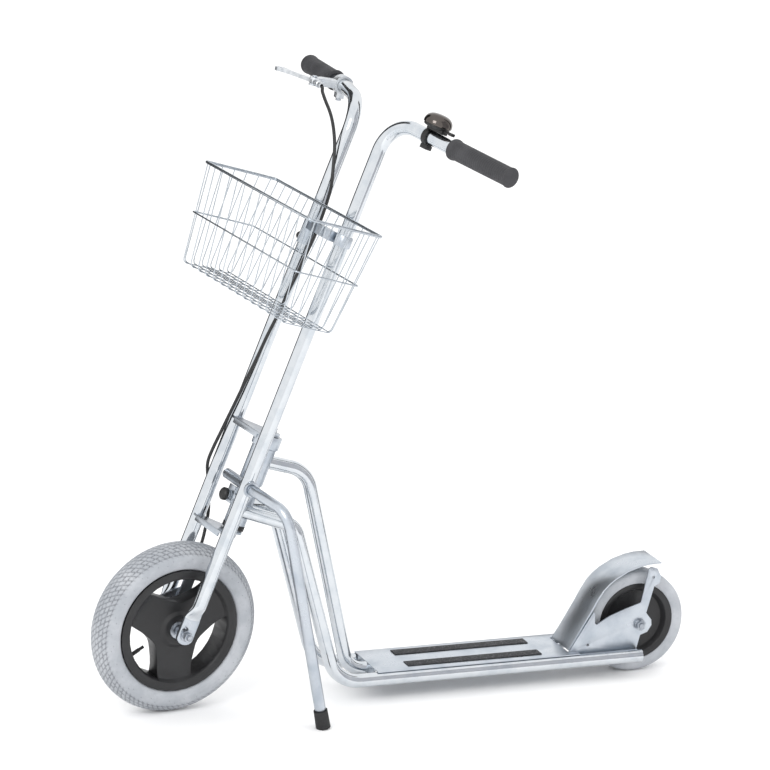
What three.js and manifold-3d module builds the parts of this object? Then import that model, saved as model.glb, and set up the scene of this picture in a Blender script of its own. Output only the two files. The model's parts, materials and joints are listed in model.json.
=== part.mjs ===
// Transport kick scooter: large spoked front wheel in a long twin-tube fork with a wire basket,
// low plate deck on two side tubes, small rear wheel under a fixed fender, swing-down side stand.
// Millimetres. Front is -X, the rider's left is -Y, up is +Z, and the ground is z = 0.
import * as THREE from 'three';
import { mergeVertices } from 'three/addons/utils/BufferGeometryUtils.js';
import Module from 'manifold-3d';

// ---- driving dimensions ----
const CENTRE_SHIFT = new THREE.Vector3(-418.6, -1.2, 0); // moves the box centre onto x = y = 0
const GAP = 0.3; // between a piece and the neighbour it is fixed to
const STEER_FOOT = new THREE.Vector3(37.7, 0, 143.3); // steering axis, level with the front axle
const RAKE = THREE.MathUtils.degToRad(20.65); // steering axis leans back
const TURN = THREE.MathUtils.degToRad(8.09); // front end turned to the left as it stands
const FORK_OFFSET = 40.3; // fork tubes and front axle lie this far ahead of the steering axis

const TUBE_R = 12.5; // all main tubes
const FORK_HALF = 57.8; // fork tubes from the middle plane
const BAR_CORNER = 980; // where the fork tubes bend out into the bars
const BAR_BEND = 60;
const BAR_KINK_LEFT = 155; // where the bars turn slightly towards the grips
const BAR_END_LEFT = 366;
const BAR_LIFT = { left: { kink: 0, end: 0 }, right: { kink: 13, end: 22 } };
const FOOT_ROUND = 60; // fork tube full round above this height
const FOOT_FLAT = 30; // and flat below this height
const FOOT_END = -17;
const FOOT_LEFT = 49; // middle of the flat tab

const PERCH_LEFT = -171; // brake lever's clamp along the right bar
const PERCH_TIP = THREE.MathUtils.degToRad(12); // lever's nose dips below the bar
const BELL_LEFT = 154; // bell's clamp along the left bar
const BELL_OFF = -10.6; // dome's middle from the clamp
const BELL_R = 25.7;
const CABLE_R = 3;

const FRONT_R = 157.5; // front tyre
const FRONT_TYRE_R = 30;
const FRONT_RIM_R = 113;
const FRONT_RIM_HALF = 27;
const FRONT_SIDES = 36;
const WINDOW_CENTRES = [-11, 109, 229]; // leaf windows in the rim, degrees up from straight back
const WINDOW_HALF = 40; // half of the angle a window spans
const WINDOW_R = 95;
const WINDOW_DEPTH = 46; // how far a window bulges towards the hub
const WINDOW_FULLNESS = 0.6; // below 1 the inner edge is rounder than a plain leaf
const VALVE_ANGLE = THREE.MathUtils.degToRad(229.5);

const ARM_PIVOT = [-20, 30]; // brake arm, ahead of and above the axle
const ARM_TIP = [20.5, 62];

const REAR_R = 96.5;
const REAR_AXLE = new THREE.Vector3(896.5, 0, REAR_R);
const REAR_HUB_R = 73;
const REAR_HALF = 25;
const REAR_SIDES = 32;

const SIDE_Y = 55.3; // side tubes from the middle plane
const SIDE_Z = 41.6; // side tube centre under the deck
const SIDE_END = 895;
const DECK_Z = 54.4; // underside of the deck plate
const DECK_T = 2;
const DECK_FRONT = 373;
const DECK_HALF = 60.4;
const PLATE_Y = 38.5; // inner face of the rear plates
const PLATE_T = 3;

const HEAD_BOTTOM = 208.3; // heights along the steering axis, from the axle
const HEAD_TOP = 378;
const BOLT_R = 6;
const LOWER_PLATE = 192.6; // underside of the lower cross plate
const UPPER_PLATE = 380.4;
const CROSS_T = 4;

const STAND_UP = 287; // stand pivot, along the fork
const STAND_FORE = -1; // stand pivot, ahead of the fork tubes
const STAND_SLEEVE_R = 9.5;
const STAND_PIN_R = 6.6;
const STAND_TUBE_R = 10;
const STAND_CORNER = [-20, 180, 283]; // ahead, left, up: where the leg turns down
const STAND_TOE = [-247, 196, -68]; // middle of the boot's sole
const STAND_BEND = 34;

const BASKET_FLOOR = 606.8; // heights before the basket is tipped forward
const BASKET_TOP = 788;
const BASKET_RIM = 791.3;
const BASKET_TIP = THREE.MathUtils.degToRad(3.8); // nose of the basket dips about its top rear edge
const BASKET_BACK = [49.5, 18]; // ahead of the fork tubes, at the floor and at the rim
const BASKET_FRONT = [154.3, 166.5];
const BASKET_HALF = 197.5;
const BASKET_CORNER = 6;
const BASKET_WALL = 3;

// Lever seen from above in the perch's frame, hinge end first.
const LEVER_OUTLINE = [
  [-51, -1.5],
  [-49.5, 4],
  [-51.6, 9.5],
  [-55.8, 16.5],
  [-60.5, 31.6],
  [-70.6, 53.2],
  [-77.8, 74.8],
  [-79, 87.7],
  [-82.3, 97.4],
  [-88.9, 103.9],
  [-95.9, 103.9],
  [-100.6, 98.5],
  [-99.5, 89.8],
  [-92.4, 81.2],
  [-85.8, 70.4],
  [-78.6, 53.2],
  [-70, 31.6],
  [-64.8, 16.5],
  [-62, 9],
  [-61.5, 0],
  [-56, -2.5],
];

// Brake hose from the lever's adjuster down the right fork tube to the hub brake: ahead, left, up.
const CABLE_POINTS = [
  [30.2, -145, 977.4],
  [30.1, -142, 974.6],
  [30, -137, 969],
  [29.3, -118, 957.5],
  [28.2, -100, 947.5],
  [26.8, -86.5, 938],
  [25, -74.2, 926.5],
  [23, -63.4, 913.5],
  [20.5, -53.8, 898.5],
  [17, -46.5, 880],
  [14, -34, 850],
  [9, -29.5, 825],
  [4, -32, 798],
  [0, -36, 770],
  [-1, -37, 740],
  [1, -37, 705],
  [5, -36, 655],
  [9, -34, 605],
  [14, -33, 570],
  [17, -34, 538],
  [17.5, -38, 496],
  [17, -45, 455],
  [17, -51, 413],
  [17, -60, 353],
  [17, -66, 310],
  [12, -72, 285],
  [0, -75, 262],
  [-12, -71, 235],
  [-19, -61, 205],
  [-20, -51, 175],
  [-20.5, -45.5, 150],
  [-20.5, -44.6, 122],
];

// ---- materials ----
function finish(color, roughness, metalness) {
  return () => new THREE.MeshStandardMaterial({ color, roughness, metalness });
}
const zinc = finish(0xc4ccd4, 0.3, 1);
const steel = finish(0xaab0b6, 0.35, 1);
const blackPlastic = finish(0x1c1c1e, 0.55, 0);
const tyreGrey = finish(0x85868c, 0.85, 0);
const rubber = finish(0x2b2b2d, 0.9, 0);
const smokedChrome = finish(0x3a3634, 0.15, 1);
const castSilver = finish(0xb9bcc0, 0.4, 1);

// ---- solids ----
const wasm = await Module();
wasm.setup();

function solidOf(geometry) {
  const bare = geometry.clone();
  bare.deleteAttribute('normal');
  bare.deleteAttribute('uv');
  const merged = mergeVertices(bare, 1e-4);
  return new wasm.Manifold(
    new wasm.Mesh({
      numProp: 3,
      vertProperties: merged.attributes.position.array,
      triVerts: new Uint32Array(merged.index.array),
    }),
  );
}

function geometryOf(solid) {
  const mesh = solid.getMesh();
  const geometry = new THREE.BufferGeometry();
  geometry.setAttribute('position', new THREE.BufferAttribute(new Float32Array(mesh.vertProperties), 3));
  geometry.setIndex(new THREE.BufferAttribute(new Uint32Array(mesh.triVerts), 1));
  geometry.computeVertexNormals();
  return geometry;
}

function cut(base, ...tools) {
  let left = solidOf(base);
  for (const tool of tools) {
    left = left.subtract(solidOf(tool));
  }
  return geometryOf(left);
}

function join(...pieces) {
  let whole = solidOf(pieces[0]);
  for (const piece of pieces.slice(1)) {
    whole = whole.add(solidOf(piece));
  }
  return geometryOf(whole);
}

// ---- shapes ----
// A path of stations joined by straights, with an arc of stations at each bend.
class StationPath extends THREE.Curve {
  constructor(stations) {
    super();
    this.stations = stations;
    this.steps = stations.length - 1;
  }
  station(t) {
    return this.stations[Math.round(t * this.steps)];
  }
  getPoint(t, target = new THREE.Vector3()) {
    return target.copy(this.station(t).point);
  }
  getPointAt(u, target) {
    return this.getPoint(u, target);
  }
  getTangentAt(u, target = new THREE.Vector3()) {
    return target.copy(this.station(u).tangent);
  }
}

// Corners are {at: Vector3, bend: radius}; the ends carry no bend.
function bentPath(corners, arcStep = 15) {
  const stations = [];
  const first = corners[1].at.clone().sub(corners[0].at).normalize();
  stations.push({ point: corners[0].at, tangent: first });
  for (let i = 1; i < corners.length - 1; i += 1) {
    const incoming = corners[i].at.clone().sub(corners[i - 1].at).normalize();
    const outgoing = corners[i + 1].at.clone().sub(corners[i].at).normalize();
    const angle = incoming.angleTo(outgoing);
    const radius = corners[i].bend;
    const side = outgoing.clone().addScaledVector(incoming, -Math.cos(angle)).normalize();
    const start = corners[i].at.clone().addScaledVector(incoming, -radius * Math.tan(angle / 2));
    const count = Math.max(2, Math.ceil(THREE.MathUtils.radToDeg(angle) / arcStep));
    for (let k = 0; k <= count; k += 1) {
      const phi = (angle * k) / count;
      const point = start
        .clone()
        .addScaledVector(incoming, radius * Math.sin(phi))
        .addScaledVector(side, radius * (1 - Math.cos(phi)));
      const tangent = incoming
        .clone()
        .multiplyScalar(Math.cos(phi))
        .addScaledVector(side, Math.sin(phi));
      stations.push({ point, tangent });
    }
  }
  const last = corners[corners.length - 1].at;
  const end = last.clone().sub(corners[corners.length - 2].at).normalize();
  stations.push({ point: last, tangent: end });
  return new StationPath(stations);
}

function roundSection(radius, sides) {
  const points = [];
  for (let i = 0; i < sides; i += 1) {
    const angle = (2 * Math.PI * i) / sides;
    points.push(new THREE.Vector2(radius * Math.cos(angle), radius * Math.sin(angle)));
  }
  return new THREE.Shape(points);
}

function sweep(path, radius, sides) {
  return new THREE.ExtrudeGeometry(roundSection(radius, sides), { steps: path.steps, extrudePath: path });
}

// A tube through world or local points given as [x, y, z, bend].
function tube(points, radius = TUBE_R, sides = 12) {
  const corners = points.map(([x, y, z, bend]) => ({ at: new THREE.Vector3(x, y, z), bend }));
  return sweep(bentPath(corners), radius, sides);
}

// Turned about Y from [radius, height] points, bottom to top.
function turned(profile, segments = 16) {
  return new THREE.LatheGeometry(
    profile.map(([r, y]) => new THREE.Vector2(r, y)),
    segments,
  );
}

function ring(inner, outer, low, high, segments = 20) {
  const profile = [[inner, low], [outer, low], [outer, high], [inner, high], [inner, low]];
  return turned(profile, segments);
}

function rod(radius, low, high, segments = 12) {
  return turned([[0, low], [radius, low], [radius, high], [0, high]], segments);
}

function upright(geometry) {
  return geometry.rotateX(Math.PI / 2); // turns the Y axis onto Z
}

// Flat plate from [u, v] points in the XY plane, thick along Z.
function plate(outline, low, high, holes = []) {
  const shape = new THREE.Shape(outline.map(([u, v]) => new THREE.Vector2(u, v)));
  for (const hole of holes) {
    shape.holes.push(new THREE.Path(hole.map(([u, v]) => new THREE.Vector2(u, v))));
  }
  const geometry = new THREE.ExtrudeGeometry(shape, { depth: high - low, bevelEnabled: false });
  return geometry.translate(0, 0, low);
}

function circle(u, v, radius, count = 12) {
  const points = [];
  for (let i = 0; i < count; i += 1) {
    const angle = (2 * Math.PI * i) / count;
    points.push([u + radius * Math.cos(angle), v + radius * Math.sin(angle)]);
  }
  return points;
}

// Hexagon nut or head turned about Y.
function hexagon(radius, low, high, bore = 0) {
  if (bore > 0) {
    return cut(turned([[0, low], [radius, low], [radius, high], [0, high]], 6), rod(bore, low - 5, high + 5));
  }
  return turned([[0, low], [radius, low], [radius, high], [0, high]], 6);
}

function box(x0, x1, y0, y1, z0, z1) {
  const geometry = new THREE.BoxGeometry(x1 - x0, y1 - y0, z1 - z0);
  return geometry.translate((x0 + x1) / 2, (y0 + y1) / 2, (z0 + z1) / 2);
}

function piece(group, name, geometry, material) {
  const mesh = new THREE.Mesh(geometry, material());
  mesh.name = name;
  group.add(mesh);
  return mesh;
}

// ---- groups ----
const scooter = new THREE.Group();
scooter.name = 'kick_scooter';
scooter.position.copy(CENTRE_SHIFT);

const frame = new THREE.Group();
const head = new THREE.Group(); // steering axis along its Z, not turned
head.position.copy(STEER_FOOT);
head.rotation.set(0, RAKE, 0);
const steering = new THREE.Group(); // the same axis, turned with the fork
steering.position.copy(STEER_FOOT);
steering.rotation.set(0, RAKE, TURN);
scooter.add(frame, head, steering);

// A point of the turning front end: ahead of the fork tubes, left of the middle, up from the axle.
function at(ahead, left, up) {
  return [-(ahead + FORK_OFFSET), -left, up];
}

// ---- frame ----
function headCylinder(radius, low, high) {
  const tool = upright(rod(radius, low, high, 32));
  tool.rotateY(RAKE);
  return tool.translate(STEER_FOOT.x, STEER_FOOT.y, STEER_FOOT.z);
}

function addHead() {
  const profile = [
    [15, HEAD_BOTTOM],
    [19.5, HEAD_BOTTOM],
    [19.5, 285],
    [22, 287],
    [22, 354],
    [25, 356],
    [25, HEAD_TOP],
    [15, HEAD_TOP],
    [15, HEAD_BOTTOM],
  ];
  piece(head, 'head_tube', upright(turned(profile, 24)), zinc);
  const upper = [
    [BOLT_R + GAP, 356],
    [14.7, 356],
    [14.7, HEAD_TOP + GAP],
    [17, HEAD_TOP + GAP],
    [17, UPPER_PLATE - GAP],
    [BOLT_R + GAP, UPPER_PLATE - GAP],
    [BOLT_R + GAP, 356],
  ];
  piece(head, 'upper_bush', upright(turned(upper)), steel);
  const lower = [
    [BOLT_R + GAP, LOWER_PLATE + CROSS_T + GAP],
    [16.5, LOWER_PLATE + CROSS_T + GAP],
    [16.5, HEAD_BOTTOM - GAP],
    [14.7, HEAD_BOTTOM - GAP],
    [14.7, 230],
    [BOLT_R + GAP, 230],
    [BOLT_R + GAP, LOWER_PLATE + CROSS_T + GAP],
  ];
  piece(head, 'lower_bush', upright(turned(lower)), steel);
  piece(head, 'dust_ring', upright(ring(16.8, 20, 199, HEAD_BOTTOM - GAP)), rubber);
}

function addTubes() {
  const main = tube([[150, 0, 452], [244.2, 0, 425.4, 55], [336.3, 0, 44, 40], [DECK_FRONT - GAP, 0, 44]]);
  const slot = box(198, 214, -3, 3, 440, 460);
  piece(frame, 'main_tube', cut(main, headCylinder(22 + GAP, 270, 370), slot), zinc);
  for (const [name, side] of [['side_tube_left', -1], ['side_tube_right', 1]]) {
    const path = [
      [117.4, side * 15.1, 364.8],
      [205, side * SIDE_Y, 342, 28],
      [293, side * SIDE_Y, SIDE_Z, 62],
      [SIDE_END, side * SIDE_Y, SIDE_Z],
    ];
    const bore = rod(TUBE_R - 1.5, -20, 20).rotateZ(-Math.PI / 2).translate(SIDE_END, side * SIDE_Y, SIDE_Z);
    piece(frame, name, cut(tube(path), headCylinder(19.5 + GAP, 200, 285), bore), zinc);
  }
}

function addDeck() {
  const notch = PLATE_Y + PLATE_T + GAP;
  const outline = [
    [DECK_FRONT, -DECK_HALF],
    [770, -DECK_HALF],
    [770, -notch],
    [753, -notch],
    [753, notch],
    [770, notch],
    [770, DECK_HALF],
    [DECK_FRONT, DECK_HALF],
  ];
  const top = plate(outline, DECK_Z, DECK_Z + DECK_T);
  const flangeHalf = SIDE_Y - TUBE_R - 1;
  const flange = box(DECK_FRONT, DECK_FRONT + DECK_T, -flangeHalf, flangeHalf, 31, DECK_Z + DECK_T);
  piece(frame, 'deck_plate', join(top, flange), zinc);
  const stripZ = DECK_Z + DECK_T + GAP;
  piece(frame, 'grip_strip_left', box(437, 700, -45, -20, stripZ, stripZ + 1.5), rubber);
  piece(frame, 'grip_strip_right', box(437, 700, 20, 45, stripZ, stripZ + 1.5), rubber);
}

// Side plate outline seen from the left, [x, z].
const REAR_PLATE = [
  [766, 48.5],
  [891, 47],
  [898, 76],
  [912, 81],
  [920, 93.5],
  [919, 104],
  [908, 118],
  [921, 168],
  [932, 174],
  [934, 186],
  [926, 202],
  [914, 206],
  [909, 203],
  [896, 139],
  [864, 129],
  [834.5, 118],
  [809, 103],
  [805, 106],
  [804, 124.5],
  [802, 128],
  [756, 55],
  [757, 52],
];

const FENDER = [
  [756, 57],
  [797.5, 128],
  [808, 148],
  [820, 166.5],
  [831, 178],
  [844, 188],
  [869, 201.5],
  [895, 209.5],
  [913, 212],
  [935, 212.5],
];

function offsetStrip(line, thickness) {
  const under = line.map(([x, z], i) => {
    const [x0, z0] = line[Math.max(0, i - 1)];
    const [x1, z1] = line[Math.min(line.length - 1, i + 1)];
    const length = Math.hypot(x1 - x0, z1 - z0);
    return [x + ((z1 - z0) / length) * thickness, z - ((x1 - x0) / length) * thickness];
  });
  return [...line, ...under.reverse()];
}

function addRear() {
  const holes = [
    circle(REAR_AXLE.x, REAR_AXLE.z, 5.3, 16),
    circle(793, 65.5, 2.8, 10),
    circle(918.5, 186, 3, 10),
  ];
  const lowY = { rear_plate_left: -PLATE_Y - PLATE_T, rear_plate_right: PLATE_Y };
  for (const [name, y] of Object.entries(lowY)) {
    const blank = plate(REAR_PLATE, -y - PLATE_T, -y, holes);
    piece(frame, name, upright(blank), zinc);
  }
  const fenderHalf = PLATE_Y - GAP;
  piece(frame, 'rear_fender', upright(plate(offsetStrip(FENDER, 2.5), -fenderHalf, fenderHalf)), zinc);
  const axle = turned([
    [0, -52],
    [5, -52],
    [5, -PLATE_Y + GAP],
    [8, -PLATE_Y + GAP],
    [8, -REAR_HALF],
    [5.7, -REAR_HALF],
    [5.7, REAR_HALF],
    [8, REAR_HALF],
    [8, PLATE_Y - GAP],
    [5, PLATE_Y - GAP],
    [5, 52],
    [0, 52],
  ]);
  piece(frame, 'rear_axle', axle, steel).position.copy(REAR_AXLE);
  const nutLow = PLATE_Y + PLATE_T + GAP;
  for (const [name, side] of [['rear_axle_nut_left', -1], ['rear_axle_nut_right', 1]]) {
    const washer = ring(5.3, 11, nutLow, nutLow + 1.6);
    const nut = hexagon(9.5, nutLow + 1.6, nutLow + 8, 5.3);
    const fastener = join(washer, nut);
    if (side < 0) {
      fastener.rotateZ(Math.PI);
    }
    piece(frame, name, fastener, steel).position.copy(REAR_AXLE);
  }
}

function addRearWheel() {
  const hub = turned([
    [14.5, -22],
    [20, -22],
    [22, -14],
    [56, -10],
    [62, -21],
    [REAR_HUB_R, -23],
    [REAR_HUB_R, 23],
    [62, 21],
    [56, 10],
    [22, 14],
    [20, 22],
    [14.5, 22],
    [14.5, -22],
  ], REAR_SIDES);
  piece(frame, 'rear_hub', hub, blackPlastic).position.copy(REAR_AXLE);
  const tyre = turned([
    [REAR_HUB_R + GAP, -23],
    [78, -REAR_HALF],
    [87, -24],
    [93.5, -17],
    [REAR_R, -7],
    [REAR_R, 7],
    [93.5, 17],
    [87, 24],
    [78, REAR_HALF],
    [REAR_HUB_R + GAP, 23],
    [REAR_HUB_R + GAP, -23],
  ], REAR_SIDES);
  piece(frame, 'rear_tyre', tyre, tyreGrey).position.copy(REAR_AXLE);
  for (const [name, low] of [['rear_bearing_left', -22], ['rear_bearing_right', 14]]) {
    piece(frame, name, ring(5.9, 14.2, low, low + 8), steel).position.copy(REAR_AXLE);
  }
}

// ---- fork and bars ----
// Presses the foot of a fork tube into a flat tab on the wheel's side of the tube.
function pressFoot(geometry, side) {
  const position = geometry.getAttribute('position');
  const [centreX, centreY] = at(0, side * FORK_HALF, 0);
  for (let i = 0; i < position.count; i += 1) {
    const up = position.getZ(i);
    const share = THREE.MathUtils.clamp((FOOT_ROUND - up) / (FOOT_ROUND - FOOT_FLAT), 0, 1);
    const dx = position.getX(i) - centreX;
    const dy = position.getY(i) - centreY;
    const flatY = Math.sign(dy) * Math.min(Math.abs(dy) * 0.62, 3);
    const inward = side * (FORK_HALF - FOOT_LEFT);
    position.setX(i, centreX + dx * (1 + share * 0.28));
    position.setY(i, centreY + dy * (1 - share) + (flatY + inward) * share);
  }
  return geometry;
}
function barPoints(side, lift) {
  return [
    [...at(0, side * FORK_HALF, FOOT_END)],
    [...at(0, side * FORK_HALF, 6)],
    [...at(0, side * FORK_HALF, FOOT_FLAT)],
    [...at(0, side * FORK_HALF, FOOT_ROUND)],
    [...at(0, side * FORK_HALF, BAR_CORNER), BAR_BEND],
    [...at(-25, side * BAR_KINK_LEFT, BAR_CORNER - 3 + lift.kink), 150],
    [...at(-65, side * BAR_END_LEFT, BAR_CORNER - 8 + lift.end)],
  ];
}

// The straight foot needs stations of its own, so that pressing it keeps flat sides.
function forkTube(side, lift) {
  const points = barPoints(side, lift).map(([x, y, z, bend]) => ({ at: new THREE.Vector3(x, y, z), bend }));
  const upper = bentPath(points.slice(3));
  const down = upper.stations[0].tangent;
  const foot = points.slice(0, 3).map((p) => ({ point: p.at, tangent: down }));
  const path = new StationPath([...foot, ...upper.stations]);
  return pressFoot(sweep(path, TUBE_R, 12), side);
}

function acrossTool(radius, ahead, up, leftLow, leftHigh) {
  const [x, , z] = at(ahead, 0, up);
  return rod(radius, -leftHigh, -leftLow, 24).translate(x, 0, z);
}

function addFork() {
  const axleHole = acrossTool(5.3, 0, 0, -90, 90);
  const keyHole = box(-4.5, 4.5, -90, 90, -4.5, 4.5);
  const [keyX, , keyZ] = at(6, 0, 11);
  keyHole.rotateY(0.5).translate(keyX, 0, keyZ);
  const sleeveHole = acrossTool(STAND_SLEEVE_R + GAP, STAND_FORE, STAND_UP, 30, 90);
  const left = cut(forkTube(1, BAR_LIFT.left), axleHole, keyHole, sleeveHole);
  const right = cut(forkTube(-1, BAR_LIFT.right), axleHole, keyHole);
  piece(steering, 'fork_tube_left', left, zinc);
  piece(steering, 'fork_tube_right', right, zinc);
}

// Cross plate seen from above, [ahead, left], widest at the tubes and round about the pivot.
function crossPlate(low) {
  const rear = [];
  for (let i = 0; i <= 8; i += 1) {
    const angle = Math.PI / 2 + (Math.PI * i) / 8;
    rear.push([-FORK_OFFSET + 19 * Math.cos(angle), 19 * Math.sin(angle)]);
  }
  const outline = [[12, -59], [12, 59], [-5, 59], [-11, 45], ...rear, [-11, -45], [-5, -59]];
  const flat = outline.map(([a, b]) => {
    const [x, y] = at(a, b, 0);
    return [x, y];
  });
  const body = plate(flat, low, low + CROSS_T);
  const flangeLow = at(12, 44, 0);
  const flangeHigh = at(9, -44, 0);
  const flange = box(flangeLow[0], flangeHigh[0], flangeLow[1], flangeHigh[1], low - 7, low + 1);
  const tools = [1, -1].map((side) => {
    const [x, y] = at(0, side * FORK_HALF, 0);
    return upright(rod(TUBE_R + GAP, low - 10, low + 10, 24)).translate(x, y, 0);
  });
  const bore = upright(rod(BOLT_R + GAP, low - 10, low + 10, 24));
  return cut(join(body, flange), ...tools, bore);
}

function addCrossPlates() {
  piece(steering, 'cross_plate_upper', crossPlate(UPPER_PLATE), zinc);
  piece(steering, 'cross_plate_lower', crossPlate(LOWER_PLATE), zinc);
  const headLow = UPPER_PLATE + CROSS_T + GAP;
  const shaft = rod(BOLT_R, LOWER_PLATE - 14, headLow + 1, 24);
  piece(steering, 'pivot_bolt', upright(join(shaft, hexagon(11, headLow, headLow + 8))), steel);
  const nut = hexagon(11, LOWER_PLATE - GAP - 10, LOWER_PLATE - GAP, BOLT_R + GAP);
  piece(steering, 'pivot_nut', upright(nut), steel);
}

// Places a piece turned about Y so that Y runs from one front-end point towards another.
function placeAlong(mesh, from, to) {
  const start = new THREE.Vector3(...from);
  const direction = new THREE.Vector3(...to).sub(start).normalize();
  mesh.position.copy(start);
  mesh.quaternion.setFromUnitVectors(new THREE.Vector3(0, 1, 0), direction);
  return mesh;
}

function addGrip(name, side, lift) {
  const points = barPoints(side, lift);
  const end = points[points.length - 1].slice(0, 3);
  const bend = points[points.length - 2].slice(0, 3);
  const profile = [
    [0, -4.5],
    [17.5, -4.5],
    [18, -2],
    [16.8, 1],
    [16.6, 100],
    [17.2, 140],
    [19, 146],
    [18.6, 149],
    [TUBE_R + GAP, 149],
    [TUBE_R + GAP, -1],
    [0, -1],
  ];
  placeAlong(piece(steering, name, turned(profile, 24), rubber), end, bend);
}

// ---- brake ----

// Point on the right bar's straight outer run at a distance left of the middle (negative is right).
function onBar(left, lift) {
  const side = Math.sign(left);
  const points = barPoints(side, lift);
  const a = new THREE.Vector3(...points[points.length - 2].slice(0, 3));
  const b = new THREE.Vector3(...points[points.length - 1].slice(0, 3));
  const share = (Math.abs(left) - BAR_KINK_LEFT) / (BAR_END_LEFT - BAR_KINK_LEFT);
  return a.lerp(b, share);
}

function addBrakeControls() {
  const inner = onBar(PERCH_LEFT, BAR_LIFT.right).toArray();
  const outer = onBar(PERCH_LEFT - 20, BAR_LIFT.right).toArray();
  const perch = new THREE.Group();
  perch.position.set(...inner);
  perch.quaternion.setFromUnitVectors(
    new THREE.Vector3(0, 1, 0),
    new THREE.Vector3(...outer).sub(new THREE.Vector3(...inner)).normalize(),
  );
  perch.rotateY(-PERCH_TIP);
  steering.add(perch);
  // local frame of the perch: Y along the bar outwards, -X ahead, Z up
  const clamp = ring(TUBE_R + GAP, 17.5, 0, 20, 24);
  const arm = box(-44, -14, 1, 19, -7, 8);
  const nose = upright(rod(9, -7, 8, 20)).translate(-56, 4, 0);
  const bridge = box(-58, -40, -5, 13, -7, 8);
  const fork = box(-80, -48, -3.5, 30, -3.2, 4.2);
  const boss = rod(7, -13, -2, 16).translate(-54, 0, 0);
  const clampEar = box(-10, 4, 2, 18, -24, -14);
  const body = cut(
    join(clamp, arm, bridge, nose, boss, clampEar),
    fork,
    rod(TUBE_R + GAP, -20, 40, 24),
    rod(2.6, -30, 40, 12).translate(-54, 0, 0),
    upright(rod(3.2, -20, 20, 12)).translate(-56, 4, 0),
    upright(rod(2.9, -30, -15, 12)).translate(-3, 10, 0),
  );
  piece(perch, 'brake_perch', body, castSilver);
  const pin = join(upright(rod(2.9, -7, 8.5, 12)), upright(rod(4.6, 8.3, 10.5, 12)));
  piece(perch, 'lever_pivot_pin', pin, steel).position.set(-56, 4, 0);
  const bolt = join(upright(hexagon(5, -29, -24 - GAP)), upright(rod(2.6, -25, -16, 12)));
  piece(perch, 'perch_clamp_bolt', bolt, steel).position.set(-3, 10, 0);
  const adjuster = turned([
    [2.9, -34],
    [4, -34],
    [5, -32],
    [5, -22],
    [6.8, -21],
    [6.8, -16],
    [5, -15.4],
    [5, -13 - GAP],
    [2.9, -13 - GAP],
    [2.9, -34],
  ], 16);
  piece(perch, 'cable_adjuster', adjuster, castSilver).position.set(-54, 0, 0);
  const lever = plate(LEVER_OUTLINE, -2.8, 3.8, [circle(-56, 4, 3.3, 12), circle(-90, 92, 4.5, 12)]);
  piece(perch, 'brake_lever', lever, castSilver);
}

function addCable() {
  const path = new THREE.CatmullRomCurve3(
    CABLE_POINTS.map(([a, b, c]) => new THREE.Vector3(...at(a, b, c))),
    false,
    'centripetal',
  );
  const hose = new THREE.ExtrudeGeometry(roundSection(CABLE_R, 8), { steps: 62, extrudePath: path });
  piece(steering, 'brake_cable', hose, blackPlastic);
}

// ---- bell on the left bar ----
function addBell() {
  const from = onBar(BELL_LEFT, BAR_LIFT.left).toArray();
  const to = onBar(BELL_LEFT + 100, BAR_LIFT.left).toArray();
  const bell = new THREE.Group();
  bell.position.set(...from);
  bell.quaternion.setFromUnitVectors(
    new THREE.Vector3(0, -1, 0),
    new THREE.Vector3(...to).sub(new THREE.Vector3(...from)).normalize(),
  );
  steering.add(bell);
  // local frame of the bell: -Y along the bar outwards, -X ahead, Z up
  const bore = TUBE_R + 2 * GAP;
  const band = ring(bore, 16, -5.5, 5.5, 24);
  const post = box(-10, 4, -34, 6, 13.5, 20);
  const pan = upright(turned([[0, 19], [20.5, 19], [23.5, 21], [23.5, 24], [0, 24]], 32));
  const screw = box(-6.5, 6.5, -9, 8, -22, -14.5);
  const base = cut(join(band, post, pan.translate(-4, BELL_OFF, 0), screw), rod(bore, -50, 30, 24));
  piece(bell, 'bell_base', base, blackPlastic);
  const dome = [];
  for (let i = 0; i <= 6; i += 1) {
    const angle = (Math.PI / 2) * (i / 6);
    dome.push([BELL_R * Math.cos(angle), 26 + 18.5 * Math.sin(angle)]);
  }
  dome[6][0] = 0;
  const shell = turned([[0, 24.4], [BELL_R - 0.5, 24.4], ...dome], 32);
  piece(bell, 'bell_dome', upright(shell).translate(-4, BELL_OFF, 0), smokedChrome);
  const thumb = join(
    box(-9, 1, -54, -36, 19, 22),
    upright(rod(6, 18, 23, 16)).translate(-4, -52, 0),
  );
  piece(bell, 'bell_lever', thumb, blackPlastic);
}

// ---- basket ----
function roundedRectangle(x0, x1, y0, y1, radius) {
  const points = [];
  const corners = [[x1, y1, 0], [x0, y1, 1], [x0, y0, 2], [x1, y0, 3]];
  for (const [x, y, quarter] of corners) {
    const cx = x + (x === x1 ? -radius : radius);
    const cy = y + (y === y1 ? -radius : radius);
    for (let i = 0; i <= 3; i += 1) {
      const angle = (Math.PI / 2) * (quarter + i / 3);
      points.push([cx + radius * Math.cos(angle), cy + radius * Math.sin(angle)]);
    }
  }
  return points;
}

// Tapered block: the outline grows with height, [ahead low, ahead high, half width] at foot and top.
function taperedBlock(foot, top, low, high, radius) {
  const unit = plate(roundedRectangle(0, 1, -1, 1, radius), low, high);
  const position = unit.getAttribute('position');
  for (let i = 0; i < position.count; i += 1) {
    const share = (position.getZ(i) - low) / (high - low);
    const rearA = THREE.MathUtils.lerp(foot[0], top[0], share);
    const frontA = THREE.MathUtils.lerp(foot[1], top[1], share);
    const half = THREE.MathUtils.lerp(foot[2], top[2], share);
    const ahead = frontA + (rearA - frontA) * position.getX(i);
    const [x, y] = at(ahead, -half * position.getY(i), 0);
    position.setX(i, x);
    position.setY(i, y);
  }
  return unit;
}

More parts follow.
